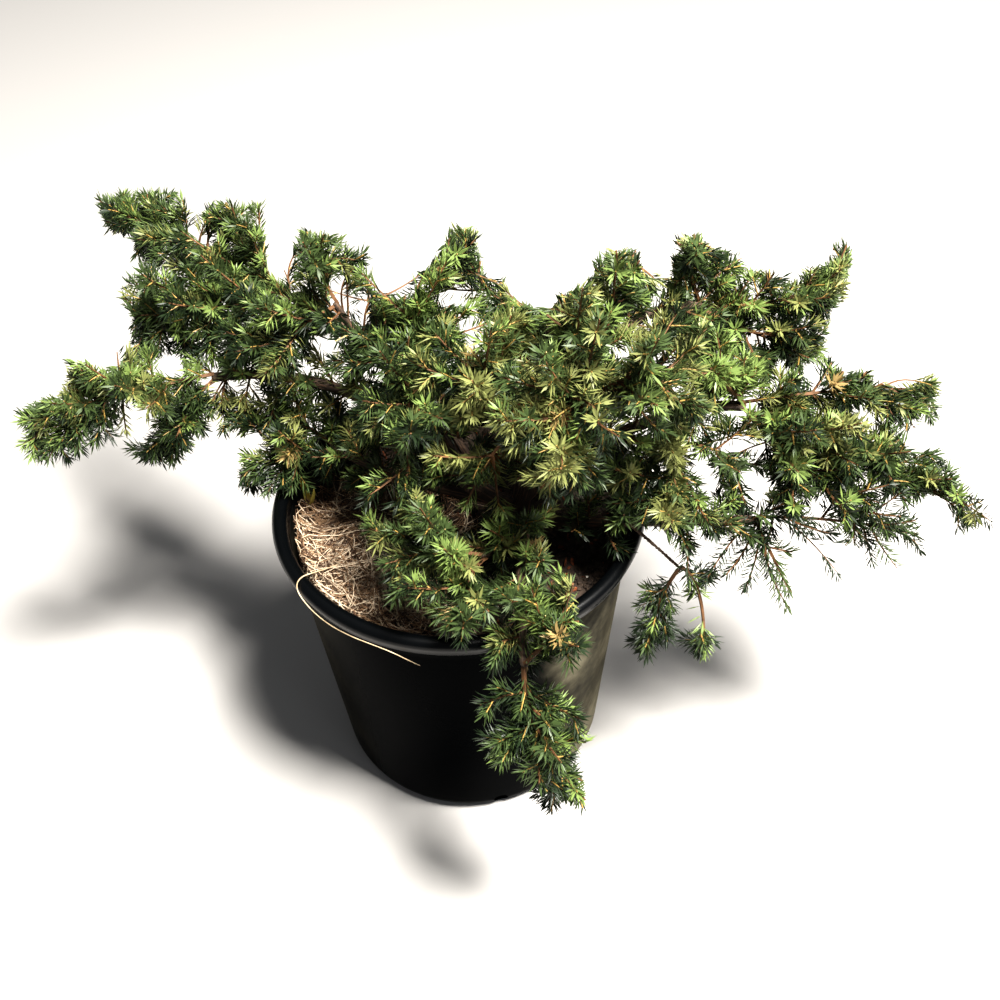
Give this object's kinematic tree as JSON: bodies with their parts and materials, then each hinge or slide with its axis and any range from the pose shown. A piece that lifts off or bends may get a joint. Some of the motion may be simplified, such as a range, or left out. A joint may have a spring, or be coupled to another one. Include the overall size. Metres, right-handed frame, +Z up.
{
  "type": "potted spreading juniper",
  "caption": "Wide, low evergreen shrub: a short leaning trunk forks into arching boughs that end in bristly needle shoots, rooted in compost in a tapered round nursery pot with a rolled rim.",
  "frame": {"origin": "middle of the pot's flat underside, on the ground", "axes": "+Z up along the pot's axis; +X to the right and +Y away from the eye, as the picture shows the plant from the front"},
  "size_m": [0.5465, 0.4165, 0.3895],
  "materials": {
    "nursery_pot_plastic": "black moulded polyethylene, satin, glossier on the rolled rim",
    "potting_compost": "damp bark-based compost, matte, with a mat of dry grass on one side",
    "juniper_bark": "thin scaly bark, grey-brown to orange-brown on young wood, matte",
    "juniper_needles": "waxy green awl-shaped needles, satin"
  },
  "bodies": {
    "root": {"pot": "nursery_pot_plastic", "soil": "potting_compost", "trunk": "juniper_bark", "back_bough": "juniper_bark", "back_left_bough": "juniper_bark", "back_right_bough": "juniper_bark", "centre_bough": "juniper_bark", "crest_limb": "juniper_bark", "front_bough": "juniper_bark", "front_left_limb": "juniper_bark", "hanging_limb": "juniper_bark", "high_bough": "juniper_bark", "high_left_limb": "juniper_bark", "inner_right_limb": "juniper_bark", "left_bough": "juniper_bark", "left_upright_limb": "juniper_bark", "low_left_bough": "juniper_bark", "low_right_bough": "juniper_bark", "right_bough": "juniper_bark", "upper_left_bough": "juniper_bark", "upper_right_bough": "juniper_bark", "back_foliage": "juniper_needles", "back_left_foliage": "juniper_needles", "back_right_foliage": "juniper_needles", "centre_left_foliage": "juniper_needles", "centre_low_foliage": "juniper_needles", "centre_top_foliage": "juniper_needles", "crest_foliage": "juniper_needles", "crown_arch_foliage": "juniper_needles", "crown_front_foliage": "juniper_needles", "crown_left_foliage": "juniper_needles", "crown_low_foliage": "juniper_needles", "crown_right_foliage": "juniper_needles", "crown_top_foliage": "juniper_needles", "front_left_foliage": "juniper_needles", "front_low_foliage": "juniper_needles", "front_right_foliage": "juniper_needles", "front_tip_foliage": "juniper_needles", "hanging_inner_foliage": "juniper_needles", "hanging_mid_foliage": "juniper_needles", "inner_front_foliage": "juniper_needles", "inner_right_foliage": "juniper_needles", "left_hanging_foliage": "juniper_needles", "left_inner_foliage": "juniper_needles", "left_tip_foliage": "juniper_needles", "left_under_foliage": "juniper_needles", "left_upright_foliage": "juniper_needles", "low_right_mid_foliage": "juniper_needles", "low_right_tip_foliage": "juniper_needles", "over_rim_foliage": "juniper_needles", "right_fan_foliage": "juniper_needles", "right_low_foliage": "juniper_needles", "right_tip_foliage": "juniper_needles", "right_tuft_foliage": "juniper_needles", "upper_left_fan_foliage": "juniper_needles", "upper_left_tip_foliage": "juniper_needles", "upper_left_tuft_foliage": "juniper_needles", "upper_right_crest_foliage": "juniper_needles", "upper_right_tip_foliage": "juniper_needles", "upper_right_under_foliage": "juniper_needles"}
  },
  "joints": []
}
